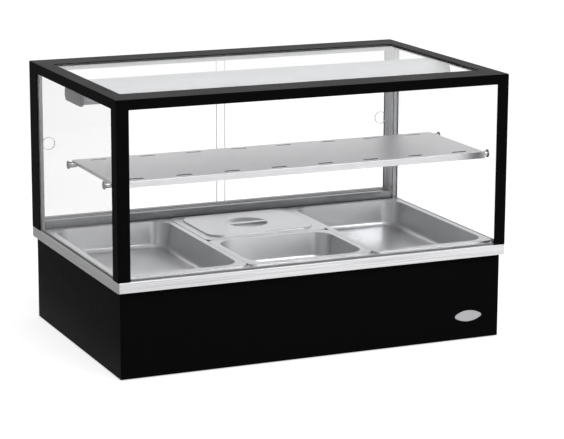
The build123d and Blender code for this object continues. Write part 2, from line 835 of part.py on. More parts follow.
def make_shelf():
    """The folded sheet shelf: narrower end flanges, two rows of collared slots, stud notches."""
    half = shelf_half
    low = shelf_top - shelf_flange
    shelf = block((-half, half), (shelf_front, shelf_back), (low, shelf_top))
    shelf = fillet(shelf.faces().sort_by(Axis.Z)[-1].edges(), shelf_bend)
    inner = half - shelf_sheet
    inner_y = (shelf_front + shelf_sheet, shelf_back - shelf_sheet)
    under = shelf_top - shelf_sheet
    shelf -= block((-inner, inner), inner_y, (low, under))
    shelf -= block((-half, half), inner_y, (low, shelf_top - shelf_end_flange))
    rim = SlotOverall(slot_length + 2 * slot_collar_sheet, slot_width + 2 * slot_collar_sheet)
    collar = extrude(rim, slot_collar)
    slot = extrude(SlotOverall(slot_length, slot_width), shelf_flange)
    for y in (shelf_front + slot_edge, shelf_back - slot_edge):
        for place in range(slots_in_row):
            x = (place - (slots_in_row - 1) / 2) * slot_pitch
            shelf += Pos(x, y, under - slot_collar) * collar
            shelf -= Pos(x, y, low) * slot
    width = stud_diameter + 2 * stud_notch_gap
    for y in stud_rows():
        shelf -= block((-half, half), (y - width / 2, y + width / 2), (low, under))
    save("shelf", shelf)


def make_studs():
    """The shelf's studs inside the side glass and their caps outside it."""
    studs, caps = [], []
    tip = side_glass_inner - stud_reach
    for y in stud_rows():
        barrel = bar((-side_glass_inner, y, stud_height), (-tip, y, stud_height), stud_diameter)
        barrel = fillet(barrel.edges().sort_by(Axis.X)[-1], stud_diameter / 10)
        hole = stud_bolt + 2 * screw_fit
        bolt_end = -side_glass_outer + stud_bolt_length
        bore_end = bolt_end + stud_bore_end
        barrel -= bar((-side_glass_inner, y, stud_height), (bore_end, y, stud_height), hole)
        studs.extend(both_sides(barrel))
        rim = -side_glass_outer - stud_cap
        cap = bar((rim, y, stud_height), (-side_glass_outer, y, stud_height), stud_cap_diameter)
        cap = fillet(cap.edges().sort_by(Axis.X)[0], stud_cap / 3)
        cap += bar((-side_glass_outer, y, stud_height), (bolt_end, y, stud_height), stud_bolt)
        caps.extend(both_sides(cap))
    save("shelf_studs", *studs)
    save("stud_caps", *caps)


def hood_outline(inset):
    """The hood's section: leaning sides, round shoulders and a flat crown."""
    foot = hood_foot_width / 2 - inset
    side = hood_width / 2 - inset
    crown = hood_width / 2 - hood_shoulder
    belly = hood_height - hood_shoulder
    top = hood_height - inset
    right = Line((foot, inset), (side, belly))
    right += CenterArc((crown, belly), hood_shoulder - inset, 0, 90)
    left = mirror(right, about=Plane.YZ)
    outline = right + Line((crown, top), (-crown, top)) + left + Line((-foot, inset), (foot, inset))
    return make_face(outline)


def make_hood():
    """The lamp hood: a rolled sheet cover, its reflector, end caps, brackets, lamp and holders."""
    place = Pos(0, hood_middle, hood_foot)
    reach = hood_end - cap_thickness

    def run(outline):
        return place * extrude(Plane.YZ * outline, reach, both=True)

    hood = run(hood_outline(0)) - run(hood_outline(hood_sheet))
    hood -= place * Box(2 * reach, hood_mouth, 4 * hood_sheet)
    save("lamp_hood", hood)

    reflector_edge = hood_mouth / 2 - reflector_gap
    reflector_height = hood_height - reflector_top_gap
    bowl = Ellipse(reflector_edge, reflector_height)
    bowl -= Ellipse(reflector_edge - reflector_sheet, reflector_height - reflector_sheet)
    bowl &= Pos(0, reflector_height / 2) * Rectangle(2 * reflector_edge, reflector_height)
    flange = hood_mouth / 2 + hood_lip - hood_sheet
    for side in (-1, 1):
        middle = side * (flange + reflector_edge - reflector_sheet) / 2
        wide = flange - reflector_edge + reflector_sheet
        bowl += Pos(middle, reflector_sheet / 2) * Rectangle(wide, reflector_sheet)
    save("lamp_reflector", Pos(0, 0, hood_sheet) * run(bowl))

    cap = extrude(Plane.YZ * hood_outline(-cap_lip), cap_thickness)
    cap = fillet(cap.faces().sort_by(Axis.X)[-1].edges(), cap_round)
    cap = place * Pos(reach, 0, 0) * cap
    cap_hole = screw_diameter + 2 * screw_fit
    for y, z in hood_screw_places():
        cap -= bar((reach, y, z), (hood_end, y, z), cap_hole)
    save("hood_end_caps", *both_sides(cap))

    lamp_z = hood_foot + lamp_height
    tube = reach - holder_length + holder_grip
    lamp = bar((-tube, hood_middle, lamp_z), (tube, hood_middle, lamp_z), lamp_diameter)
    save("lamp_tube", fillet(lamp.edges(), lamp_diameter / 4))

    holder_y = (hood_middle - holder_width / 2, hood_middle + holder_width / 2)
    holder_z = (lamp_z - holder_height / 2, lamp_z + holder_height / 2)
    holder = block((reach - holder_length, reach), holder_y, holder_z)
    holder = fillet(holder.edges().filter_by(Axis.X), holder_width / 8)
    socket = lamp_diameter + 2 * screw_fit
    holder -= bar((reach - holder_length, hood_middle, lamp_z), (tube, hood_middle, lamp_z), socket)
    save("lamp_holders", *both_sides(holder))

    rows = (hood_middle - bracket_width / 2, hood_middle + bracket_width / 2)
    leg = (hood_end, hood_end + bracket_sheet)
    bracket = block(leg, rows, (hood_top - bracket_drop, frame_under))
    foot_x = (top_glass_side + bracket_gap, leg[1])
    bracket += block(foot_x, rows, (frame_under - bracket_sheet, frame_under))
    for y, z in hood_screw_places():
        bracket -= bar((leg[0], y, z), (leg[1], y, z), cap_hole)
    save("hood_brackets", *both_sides(bracket))


def hood_screw_places():
    """Where the screws between hood end caps and brackets are, as y and z."""
    rows = (hood_middle - bracket_screw_pitch / 2, hood_middle + bracket_screw_pitch / 2)
    height = hood_top - bracket_drop / 2
    return [(row, height) for row in rows]


def make_controls():
    """Thermostat with spindle and knob, the two rocker switches and the indicator lamp."""
    half = thermostat_size / 2
    x = (thermostat_x - half, thermostat_x + half)
    z = (control_height - half, control_height + half)
    rear = panel_inner - thermostat_body_depth
    body = block(x, (rear, panel_inner), z)
    body = fillet(body.edges().filter_by(Axis.Y), half / 8)
    axis = (thermostat_x, control_height)
    spindle_start = panel_inner - spindle_length / 2
    bore = spindle_diameter + 2 * spindle_clearance
    bore_end = spindle_start - spindle_bore_end
    body -= bar((axis[0], bore_end, axis[1]), (axis[0], panel_inner, axis[1]), bore)
    save("thermostat_body", body)

    tip = spindle_start + spindle_length
    spindle = bar((axis[0], spindle_start, axis[1]), (axis[0], tip, axis[1]), spindle_diameter)
    flat_z = axis[1] + spindle_diameter / 2 - spindle_flat
    knob_foot = panel_face + knob_gap
    flat = block((axis[0] - half, axis[0] + half), (knob_foot, tip), (flat_z, flat_z + half))
    spindle -= flat
    save("thermostat_spindle", spindle)

    skirt_top = knob_foot + knob_plate
    skirt = bar((axis[0], knob_foot, axis[1]), (axis[0], skirt_top, axis[1]), knob_diameter)
    skirt = fillet(skirt.edges().sort_by(Axis.Y)[-1], knob_plate / 5)
    grip_x = (axis[0] - knob_grip_width / 2, axis[0] + knob_grip_width / 2)
    reach = knob_diameter / 2 - knob_grip_inset
    grip_z = (axis[1] - reach, axis[1] + reach)
    grip = block(grip_x, (knob_foot, knob_foot + knob_height), grip_z)
    grip = fillet(grip.faces().sort_by(Axis.Y)[-1].edges(), knob_grip_width / 5)
    save("thermostat_knob", skirt + grip - spindle)

    for name, switch_x in (("power", power_switch_x), ("lamp", lamp_switch_x)):
        make_switch(name, switch_x)

    x, z = indicator_x, control_height
    lens = bar((x, panel_inner - indicator_depth, z), (x, panel_face, z), indicator_diameter)
    bezel = bar((x, panel_face, z), (x, panel_face + indicator_height, z), indicator_bezel)
    bezel = fillet(bezel.edges().sort_by(Axis.Y)[-1], indicator_height * 0.6)
    save("indicator_lamp", lens + bezel)


switch_housings = []


def make_switch(name, x):
    """One switch: a snap-in housing with a bezel, and a rocker on two stub pins."""
    half_x = switch_width / 2
    half_z = switch_height / 2
    z = control_height
    rim_x = half_x + switch_bezel
    rim_z = half_z + switch_bezel
    front_y = panel_face + switch_bezel_thickness
    body_y = (panel_inner - switch_body_depth, panel_face)
    body = block((x - half_x, x + half_x), body_y, (z - half_z, z + half_z))
    bezel = block((x - rim_x, x + rim_x), (panel_face, front_y), (z - rim_z, z + rim_z))
    housing = body + fillet(bezel.faces().sort_by(Axis.Y)[-1].edges(), switch_bezel_thickness / 2)
    cave_x = half_x - switch_wall
    cave_z = half_z - switch_wall / 2
    cave_y = (panel_face - rocker_depth - 2 * rocker_gap, front_y)
    housing -= block((x - cave_x, x + cave_x), cave_y, (z - cave_z, z + cave_z))
    pin_reach = cave_x + rocker_pin_reach
    pin_hole = rocker_pin_diameter + 2 * rocker_pin_clearance
    housing -= bar((x - pin_reach, panel_face, z), (x + pin_reach, panel_face, z), pin_hole)
    switch_housings.append(housing)

    tall = cave_z - rocker_end_gap
    low = tall - rocker_draft
    outline = Polyline((rocker_rise, tall), (rocker_rise - rocker_dip, 0), (rocker_rise, -tall),
                       (-rocker_depth, -low), (-rocker_depth, low), close=True)
    half_wide = cave_x - rocker_gap
    rocker = extrude(Plane.YZ * make_face(outline), half_wide, both=True)
    pin_end = pin_reach - rocker_gap / 4
    rocker += bar((-pin_end, 0, 0), (pin_end, 0, 0), rocker_pin_diameter)
    save(name + "_rocker", Pos(x, panel_face, z) * Rot(rocker_tilt, 0, 0) * rocker)


def make_gland_and_wiring():
    """The cable gland, the terminal block and the wires inside the base."""
    x, z = gland_x, gland_height
    inner = panel_inner - gland_inner_length
    gland = bar((x, inner, z), (x, panel_face, z), gland_thread)
    hexagon = RegularPolygon(gland_hex / 2, 6, major_radius=False)
    gland += extrude(Plane((x, panel_face, z), z_dir=(0, 1, 0)) * hexagon, gland_hex_length)
    dome_foot = panel_face + gland_hex_length
    dome = bar((x, dome_foot, z), (x, dome_foot + gland_dome_length, z), gland_dome)
    gland += fillet(dome.edges().sort_by(Axis.Y)[-1], gland_dome / 6)
    gland += extrude(Plane((x, panel_inner, z), z_dir=(0, -1, 0)) * hexagon, gland_inner_length / 3)
    gland -= bar((x, inner, z), (x, dome_foot + gland_dome_length, z), gland_bore)
    save("cable_gland", gland)

    half_x = terminal_length / 2
    half_y = terminal_depth / 2
    rows = (terminal_y - half_y, terminal_y + half_y)
    top = floor_top + terminal_height
    ends = (terminal_x - half_x, terminal_x + half_x)
    terminal = block(ends, rows, (floor_top, top))
    step = half_y / 2
    terminal -= block(ends, (rows[0], rows[0] + step), (top - step, top))
    for place in range(-2, 3):
        hole_x = terminal_x + place * terminal_pitch
        terminal -= bar((hole_x, terminal_y, top - terminal_hole), (hole_x, terminal_y, top), terminal_hole)
    save("terminal_block", terminal)

    wire_z = floor_top + terminal_height / 2
    left = terminal_x - half_x
    lanes = (terminal_y - terminal_pitch / 2, terminal_y + terminal_pitch / 2)
    bodies_rear = panel_inner - thermostat_body_depth
    switch_rear = panel_inner - switch_body_depth
    wires = []
    routes = (
        ((left, lanes[0], wire_z), (thermostat_x, lanes[0], wire_z),
         (thermostat_x, lanes[0], control_height), (thermostat_x, bodies_rear, control_height)),
        ((left, lanes[1], wire_z), (power_switch_x, lanes[1], wire_z),
         (power_switch_x, lanes[1], control_height), (power_switch_x, switch_rear, control_height)),
    )
    for route in routes:
        path = FilletPolyline(*route, radius=wire_bend)
        section = Plane(route[0], z_dir=(-1, 0, 0)) * Circle(wire_diameter / 2)
        wires.append(sweep(section, path=path))
    save("wiring", *wires)


def make_badge():
    """The bare plate on the front of the base."""
    face = Plane((badge_x, shell_front, badge_height), x_dir=(1, 0, 0), z_dir=(0, -1, 0))
    reach, rise = badge_span / 2, badge_tall / 2
    upper = ThreePointArc((-reach, 0), (0, rise), (reach, 0))
    lower = ThreePointArc((reach, 0), (0, -rise), (-reach, 0))
    outline = fillet(make_face(upper + lower).vertices(), badge_tip)
    plate = extrude(face * outline, badge_thickness)
    plate = fillet(plate.faces().sort_by(Axis.Y)[0].edges(), badge_round)
    field = offset(outline, amount=-badge_border)
    plate -= extrude(face.offset(badge_thickness - badge_sink) * field, badge_sink)
    save("oval_plate", plate)


def make_screws():
    """The like screws of the back panel, bottom plate and hood, and the larger ones of the posts."""
    up = (0, 0, 1)
    screws = [screw((x, shell_back, z), (0, -1, 0)) for x, z in panel_screw_places()]
    screws.extend(screw((x, y, shell_lift), up) for x, y in floor_screw_places())
    for y, z in hood_screw_places():
        screws.extend(both_sides(screw((hood_end + bracket_sheet, y, z), (-1, 0, 0))))
    save("pan_head_screws", *screws)

    sizes = (post_screw_length, post_screw_diameter, post_screw_head, post_screw_head_height)
    places = front_post_screw_places() + rear_post_screw_places()
    save("post_screws", *[screw((x, y, deck_under), up, *sizes) for x, y in places])


make_base_shell()
make_back_panel()
make_bottom_plate()
make_feet()
make_deck()
make_well()
make_bars()
for pan_name, pan_x in (("pan_left", -column_pitch), ("pan_right", column_pitch)):
    make_pan(pan_name, pan_x, row_middle, pan_short, pan_long)
half_step = (half_pan_short + pan_gap) / 2
make_pan("half_pan_front", 0, row_middle - half_step, half_pan_long, half_pan_short)
make_pan("half_pan_rear", 0, row_middle + half_step, half_pan_long, half_pan_short)
make_lid()
make_heating()
make_insulation()
top_frame = make_top_frame()
save("top_frame", top_frame)
make_posts(top_frame)
make_glass()
make_tracks()
make_doors()
make_shelf()
make_studs()
make_hood()
make_controls()
save("switch_housings", *switch_housings)
make_gland_and_wiring()
make_badge()
make_screws()

os.makedirs("parts", exist_ok=True)
for node, shape in saved.items():
    export_step(shape, f"parts/{node}.step")
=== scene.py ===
import math

import bmesh
import bpy
from mathutils import Matrix, Vector


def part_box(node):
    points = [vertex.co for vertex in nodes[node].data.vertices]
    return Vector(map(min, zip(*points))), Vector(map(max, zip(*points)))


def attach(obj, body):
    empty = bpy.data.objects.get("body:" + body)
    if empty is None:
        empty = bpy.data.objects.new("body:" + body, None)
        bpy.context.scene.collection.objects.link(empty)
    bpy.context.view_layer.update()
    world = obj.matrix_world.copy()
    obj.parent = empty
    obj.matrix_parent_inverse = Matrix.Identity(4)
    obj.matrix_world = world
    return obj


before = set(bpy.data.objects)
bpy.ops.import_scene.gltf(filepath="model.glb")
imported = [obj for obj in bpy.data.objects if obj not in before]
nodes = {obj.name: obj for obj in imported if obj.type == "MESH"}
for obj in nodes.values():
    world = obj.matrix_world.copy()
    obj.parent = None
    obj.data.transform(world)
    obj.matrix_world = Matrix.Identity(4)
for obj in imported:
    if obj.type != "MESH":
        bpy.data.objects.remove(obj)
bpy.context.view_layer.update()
scene = bpy.context.scene
scene.view_settings.view_transform = "Standard"

# Camera: a long lens, a little above the deck and left of the front, as the photograph was taken.
# The places come from a fit of the case's edges, in degrees, metres and pixels of a 564 x 439 image.
picture_width = 564
camera_turn = math.radians(-23.858)
camera_rise = math.radians(12.716)
camera_roll = math.radians(0.228)
camera_distance = 5.5254
camera_target = Vector((0.0464, 0.0, 0.2698))
focal_pixels = 2222.2
back = Vector((
    math.sin(camera_turn) * math.cos(camera_rise),
    -math.cos(camera_turn) * math.cos(camera_rise),
    math.sin(camera_rise),
))
level = Vector((math.cos(camera_turn), math.sin(camera_turn), 0.0))
upright = back.cross(level)
right = level * math.cos(camera_roll) + upright * math.sin(camera_roll)
up = upright * math.cos(camera_roll) - level * math.sin(camera_roll)
camera = bpy.data.objects.new("camera", bpy.data.cameras.new("camera"))
scene.collection.objects.link(camera)
camera.matrix_world = Matrix.Translation(camera_target + back * camera_distance) @ Matrix(
    (right, up, back)).transposed().to_4x4()
camera.data.sensor_width = 36.0
camera.data.lens = focal_pixels / picture_width * camera.data.sensor_width
camera.data.clip_end = 100.0
scene.camera = camera


# Studio: a white room, a white floor that keeps the case's soft shadow, and two broad soft lamps.
# The eye, gloss and glass see plain white, but for a darker left side of the room in gloss.
def srgb(code):
    """An sRGB hex colour as linear values."""
    parts = [int(code[place:place + 2], 16) / 255 for place in (1, 3, 5)]
    return [*(c / 12.92 if c <= 0.04045 else ((c + 0.055) / 1.055) ** 2.4 for c in parts), 1.0]


def add(tree, kind, inputs=None, **settings):
    """One node: settings go on the node, and each input takes a value or another node's socket."""
    node = tree.nodes.new(kind)
    for name, value in settings.items():
        setattr(node, name, value)
    for name, value in (inputs or {}).items():
        if isinstance(value, bpy.types.NodeSocket):
            tree.links.new(value, node.inputs[name])
        else:
            node.inputs[name].default_value = value
    return node


def full_light(tree):
    """1 for the eye, gloss and glass, which see the plain white room, and 0 for light on a surface."""
    path = add(tree, "ShaderNodeLightPath").outputs
    seen = path["Is Camera Ray"]
    for ray in ("Is Glossy Ray", "Is Transmission Ray"):
        seen = add(tree, "ShaderNodeMath", {0: seen, 1: path[ray]}, operation="MAXIMUM").outputs[0]
    return seen


def shade(tree, along_x, grey_at, white_at):
    """How far the room is dimmed here: only in gloss, and only towards its unlit left side."""
    glossy = add(tree, "ShaderNodeLightPath").outputs["Glossy Depth"]
    left = add(tree, "ShaderNodeMapRange", {
        "Value": along_x, "From Min": grey_at, "From Max": white_at, "To Min": left_shade, "To Max": 0.0},
        interpolation_type="SMOOTHSTEP").outputs[0]
    glossy = add(tree, "ShaderNodeMath", {0: glossy, 1: 1.0}, operation="MINIMUM").outputs[0]
    return add(tree, "ShaderNodeMath", {0: glossy, 1: left}, operation="MULTIPLY").outputs[0]


left_shade = 0.58
room_light = 0.5
room_grey_at = -0.4
room_white_at = -0.1
world = bpy.data.worlds.new("white_room")
scene.world = world
world.use_nodes = True
tree = world.node_tree
tree.nodes.clear()
direction = add(tree, "ShaderNodeTexCoord").outputs["Generated"]
along_x = add(tree, "ShaderNodeSeparateXYZ", {0: direction}).outputs["X"]
strength = add(tree, "ShaderNodeMapRange", {
    "Value": full_light(tree), "To Min": room_light, "To Max": 1.0}).outputs[0]
colour = add(tree, "ShaderNodeMix", {
    0: shade(tree, along_x, room_grey_at, room_white_at), 6: srgb("#ffffff"), 7: srgb("#000000")},
    data_type="RGBA")
room = add(tree, "ShaderNodeBackground", {"Color": colour.outputs[2], "Strength": strength})
add(tree, "ShaderNodeOutputWorld", {"Surface": room.outputs[0]})

floor_reach = 40.0
floor_glow = 0.64
floor_grey_at = -0.62
floor_white_at = -0.5
floor_mesh = bpy.data.meshes.new("floor")
floor_mesh.from_pydata([
    (-floor_reach, -floor_reach, 0), (floor_reach, -floor_reach, 0),
    (floor_reach, floor_reach, 0), (-floor_reach, floor_reach, 0)], [], [(0, 1, 2, 3)])
floor = bpy.data.objects.new("floor", floor_mesh)
scene.collection.objects.link(floor)
floor_paint = bpy.data.materials.new("matt_white_floor_paint")
floor_paint.use_nodes = True
tree = floor_paint.node_tree
tree.nodes.clear()
spot = add(tree, "ShaderNodeTexCoord").outputs["Object"]
along_x = add(tree, "ShaderNodeSeparateXYZ", {0: spot}).outputs["X"]
matt = add(tree, "ShaderNodeBsdfDiffuse", {"Color": srgb("#d8d8d8")})
strength = add(tree, "ShaderNodeMath", {0: full_light(tree), 1: floor_glow}, operation="MULTIPLY")
glow = add(tree, "ShaderNodeEmission", {"Strength": strength.outputs[0]})
lit = add(tree, "ShaderNodeAddShader", {0: matt.outputs[0], 1: glow.outputs[0]})
unlit = add(tree, "ShaderNodeEmission", {"Color": srgb("#000000")})
both = add(tree, "ShaderNodeMixShader", {
    0: shade(tree, along_x, floor_grey_at, floor_white_at), 1: lit.outputs[0], 2: unlit.outputs[0]})
add(tree, "ShaderNodeOutputMaterial", {"Surface": both.outputs[0]})
floor_mesh.materials.append(floor_paint)

lamp_aim = Vector((0.0, 0.0, 0.3))
for name, stand, size, watts in (
    ("key_lamp", (1.9, -3.6, 3.3), 2.6, 84.0),
    ("fill_lamp", (-0.8, -2.6, 4.2), 2.4, 56.0),
):
    lamp = bpy.data.objects.new(name, bpy.data.lights.new(name, "AREA"))
    lamp.data.size = size
    lamp.data.energy = watts
    lamp.location = stand
    lamp.rotation_euler = (lamp_aim - Vector(stand)).to_track_quat("-Z", "Y").to_euler()
    scene.collection.objects.link(lamp)


# Base shell, back panel, posts, top frame and glazing beads: folded sheet and extrusions in baked
# black powder coat. It gives the eye a fine pebble, nearly black head-on and grey where light grazes.
def start(name):
    """A new empty material, its node tree and the place on the object that its patterns use."""
    finish = bpy.data.materials.new(name)
    finish.use_nodes = True
    finish.node_tree.nodes.clear()
    place = add(finish.node_tree, "ShaderNodeTexCoord").outputs["Object"]
    return finish, finish.node_tree, place


def dress(finish, *names):
    """Gives the finish to these CAD nodes."""
    for name in names:
        nodes[name].material_slots[0].material = finish


def soften(width, *names):
    """Rounds the sharp edges of these CAD nodes by this width in metres."""
    for name in names:
        weld = nodes[name].modifiers.new("joined_faces", "WELD")
        weld.merge_threshold = width / 50
        round_edge = nodes[name].modifiers.new("soft_edge", "BEVEL")
        round_edge.width = width
        round_edge.segments = 2
        round_edge.angle_limit = math.radians(40)
        round_edge.harden_normals = True


def powder_coat(name, deep, pale, pebble, cloudy):
    """Powder coat with a pebble, and clouds in its gloss, of these sizes in metres."""
    finish, tree, place = start(name)
    grain = add(tree, "ShaderNodeTexNoise", {
        "Vector": place, "Scale": 1 / pebble, "Detail": 2.0, "Roughness": 0.6}).outputs["Fac"]
    cloud = add(tree, "ShaderNodeTexNoise", {"Vector": place, "Scale": 1 / cloudy, "Detail": 3.0})
    spread = add(tree, "ShaderNodeMapRange", {
        "Value": grain, "From Min": 0.35, "From Max": 0.7}).outputs[0]
    colour = add(tree, "ShaderNodeMix", {0: spread, 6: srgb(deep), 7: srgb(pale)}, data_type="RGBA")
    gloss = add(tree, "ShaderNodeMapRange", {
        "Value": cloud.outputs["Fac"], "To Min": 0.22, "To Max": 0.34})
    bump = add(tree, "ShaderNodeBump", {"Height": grain, "Strength": 0.5, "Distance": pebble / 8})
    paint = add(tree, "ShaderNodeBsdfPrincipled", {
        "Base Color": colour.outputs[2], "Roughness": gloss.outputs[0],
        "Specular IOR Level": coat_specular, "Normal": bump.outputs[0]})
    add(tree, "ShaderNodeOutputMaterial", {"Surface": paint.outputs[0]})
    return finish


# The pebble is 0.2 mm on the real coat and drawn at 2 mm, so that it shows at this distance.
# Such a coat mirrors with a specular level of 0.5. The photographed sides show nearly none.
coat_specular = 0.005
black_powder_coat = powder_coat("black_powder_coat_fine_texture", "#050505", "#131313", 0.002, 0.11)
dress(black_powder_coat, "base_shell", "back_panel", "top_frame", "front_post_left", "front_post_right",
      "rear_post_left", "rear_post_right", "glazing_beads")


# Feet: moulded rubber pads, each on a steel stud through the bottom plate.
# Black rubber looks dull, with a dusty bloom.
skin_cloud = 0.0286
even_noise = {"From Min": 0.3, "From Max": 0.7}


def skin(name, deep, pale, grain, gloss, shader=None):
    """An even surface with soft clouds of colour and gloss, and a grain of this size in metres."""
    finish, tree, place = start(name)
    fine = add(tree, "ShaderNodeTexNoise", {"Vector": place, "Scale": 1 / grain, "Detail": 2.0})
    fine = fine.outputs["Fac"]
    cloud = add(tree, "ShaderNodeTexNoise", {"Vector": place, "Scale": 1 / skin_cloud, "Detail": 3.0})
    mixed = add(tree, "ShaderNodeMix", {0: 0.5, 2: fine, 3: cloud.outputs["Fac"]}).outputs[0]
    mixed = add(tree, "ShaderNodeMapRange", {"Value": mixed, **even_noise}).outputs[0]
    colour = add(tree, "ShaderNodeMix", {0: mixed, 6: srgb(deep), 7: srgb(pale)}, data_type="RGBA")
    rough = add(tree, "ShaderNodeMapRange", {"Value": mixed, "To Min": gloss[0], "To Max": gloss[1]})
    bump = add(tree, "ShaderNodeBump", {"Height": fine, "Strength": 0.2, "Distance": grain / 5})
    surface = add(tree, "ShaderNodeBsdfPrincipled", {
        "Base Color": colour.outputs[2], "Roughness": rough.outputs[0], "Normal": bump.outputs[0],
        **(shader or {})})
    add(tree, "ShaderNodeOutputMaterial", {"Surface": surface.outputs[0]})
    return finish


dress(skin("black_rubber", "#101010", "#1b1b1b", 0.0015, (0.7, 0.85)), "rubber_feet")


# Bottom plate, insulation tray and element clamps: galvanised sheet, whose zinc crystals make a
# patchwork of greys about 8 mm across.
def galvanised(name, dark, light, crystal):
    """Hot-dipped zinc with crystals of this size in metres."""
    finish, tree, place = start(name)
    patch = add(tree, "ShaderNodeTexVoronoi", {"Vector": place, "Scale": 1 / crystal})
    tone = add(tree, "ShaderNodeSeparateColor", {0: patch.outputs["Color"]}).outputs[0]
    colour = add(tree, "ShaderNodeMix", {0: tone, 6: srgb(dark), 7: srgb(light)}, data_type="RGBA")
    rough = add(tree, "ShaderNodeMapRange", {"Value": tone, "To Min": 0.5, "To Max": 0.32})
    zinc = add(tree, "ShaderNodeBsdfPrincipled", {
        "Base Color": colour.outputs[2], "Metallic": 1.0, "Roughness": rough.outputs[0]})
    add(tree, "ShaderNodeOutputMaterial", {"Surface": zinc.outputs[0]})
    return finish


dress(galvanised("galvanised_sheet", "#8b9094", "#b2b7ba", 0.008),
      "bottom_plate", "insulation_tray", "element_clamps")

# Insulation: boards of pressed mineral wool, cut with a knife and laid in the tray and around the well.
# They are yellow and fully matt.
dress(skin("yellow_mineral_wool", "#b9a56b", "#d9c88e", 0.003, (0.9, 1.0)), "insulation_boards")

# Heating elements, sensor bulb and every screw: steel rod and wire with a bright zinc or nickel plate.
# It is an even pale grey with a soft mirror.
bright_zinc = skin("bright_zinc_plate", "#a8abae", "#c5c8ca", 0.001, (0.22, 0.34), {"Metallic": 1.0})
dress(bright_zinc, "pan_head_screws", "post_screws", "heating_elements", "sensor_bulb", "thermostat_spindle")

# Terminal block and lamp holders: white steatite, pressed and fired, with a dry half gloss.
# The wires have a grey silicone sleeve.
dress(skin("white_steatite", "#e2dfd5", "#eeebe2", 0.002, (0.3, 0.45)), "lamp_holders", "terminal_block")
dress(skin("grey_silicone_sleeve", "#5c5d60", "#707175", 0.002, (0.5, 0.65)), "wiring")


# Deck, divider bars, cross bar, well, jambs and brackets: stainless sheet with a brushed grain.
# Long faint lines run with the sheet's grain, and the gloss changes from line to line.
turned_side = 0.7
punched_wall = 0.5
# Slot walls' colour: dull shear-cut steel, painted darker still as the shade inside the slots.
sheared_steel_and_shade = "#4f4d4b"


def facing(tree, axis):
    """How squarely a surface faces along an axis, either way, from 0 to 1."""
    normal = add(tree, "ShaderNodeTexCoord").outputs["Normal"]
    along = add(tree, "ShaderNodeSeparateXYZ", {0: normal}).outputs[axis]
    return add(tree, "ShaderNodeMath", {0: along}, operation="ABSOLUTE").outputs[0]


def brushed_stainless(name, dark, light, line, run, gloss, upright=False, cut=None):
    """Brushed sheet: line is the lines' pitch and run their length in metres, gloss two roughnesses.

    Its grain runs along X, and along Y on the sides, or upright. The box cut, as two corners, holds
    punched slots, whose shear-cut walls are dull steel and painted darker still, as the shade inside the
    slots.
    """
    finish, tree, place = start(name)
    grains = []
    along_z = (1 / line, 1 / line, 1 / run)
    along_x = (1 / run, 1 / line, 1 / line)
    along_y = (1 / line, 1 / run, 1 / line)
    for across in (along_z, along_z) if upright else (along_x, along_y):
        drawn = add(tree, "ShaderNodeMapping", {"Vector": place, "Scale": across}).outputs[0]
        grain = add(tree, "ShaderNodeTexNoise", {"Vector": drawn, "Scale": 1.0, "Detail": 3.0})
        grains.append(grain.outputs["Fac"])
    side_on = add(tree, "ShaderNodeMath", {0: facing(tree, "X"), 1: turned_side}, operation="GREATER_THAN")
    lines = add(tree, "ShaderNodeMix", {0: side_on.outputs[0], 2: grains[0], 3: grains[1]}).outputs[0]
    lines = add(tree, "ShaderNodeMapRange", {"Value": lines, **even_noise}).outputs[0]
    colour = add(tree, "ShaderNodeMix", {0: lines, 6: srgb(dark), 7: srgb(light)}, data_type="RGBA")
    # Slot walls: dull shear-cut steel, painted darker still as the shade inside the slots.
    if cut:
        middle = [-(low + high) / 2 for low, high in zip(*cut)]
        from_middle = add(tree, "ShaderNodeVectorMath", {0: place, 1: middle}, operation="ADD").outputs[0]
        away = add(tree, "ShaderNodeVectorMath", {0: from_middle}, operation="ABSOLUTE").outputs[0]
        away = add(tree, "ShaderNodeSeparateXYZ", {0: away}).outputs
        tests = [(away[side], (cut[1][side] - cut[0][side]) / 2) for side in (0, 1)]
        shaded_slot_wall = None
        for value, limit in (*tests, (facing(tree, "Z"), punched_wall)):
            within = add(tree, "ShaderNodeMath", {0: value, 1: limit}, operation="LESS_THAN").outputs[0]
            shaded_slot_wall = within if shaded_slot_wall is None else add(
                tree, "ShaderNodeMath", {0: shaded_slot_wall, 1: within}, operation="MULTIPLY").outputs[0]
        colour = add(tree, "ShaderNodeMix", {
            0: shaded_slot_wall, 6: colour.outputs[2], 7: srgb(sheared_steel_and_shade)}, data_type="RGBA")
    rough = add(tree, "ShaderNodeMapRange", {"Value": lines, "To Min": gloss[0], "To Max": gloss[1]})
    bump = add(tree, "ShaderNodeBump", {"Height": lines, "Strength": 0.25, "Distance": 0.0001})
    metal = add(tree, "ShaderNodeBsdfPrincipled", {
        "Base Color": colour.outputs[2], "Metallic": 1.0, "Roughness": rough.outputs[0],
        "Normal": bump.outputs[0]})
    add(tree, "ShaderNodeOutputMaterial", {"Surface": metal.outputs[0]})
    return finish


# Real brush lines are 0.05 mm apart and are drawn at 1.4 mm, so that they show.
deck_steel = brushed_stainless("brushed_stainless_deck", "#b4b4b6", "#e0e0e1", 0.0014, 0.25, (0.24, 0.4))
dress(deck_steel, "deck", "divider_bar_left", "divider_bar_right", "cross_bar", "hood_brackets",
      "heated_well")
# Jambs: paler than real stainless, as painted light that makes up for the dim left side of the room that
# they mirror.
pale_jamb_steel_painted_light = brushed_stainless(
    "brushed_stainless_jamb", "#e6e6e8", "#f8f8fa", 0.0014, 0.25, (0.45, 0.6), upright=True)
dress(pale_jamb_steel_painted_light, "door_jambs")
soften(0.0004, "divider_bar_left", "divider_bar_right", "cross_bar", "door_jambs")


# Pans and lid: thin stainless pressed in a die and left satin, with the fine scuffs of washing.
# It is a smooth grey whose gloss drifts a little, crossed by short hair lines in every direction.
gloss_drift = 0.143
hair_turns = (0.3, 1.4, 2.5)
hair_slimness = 14


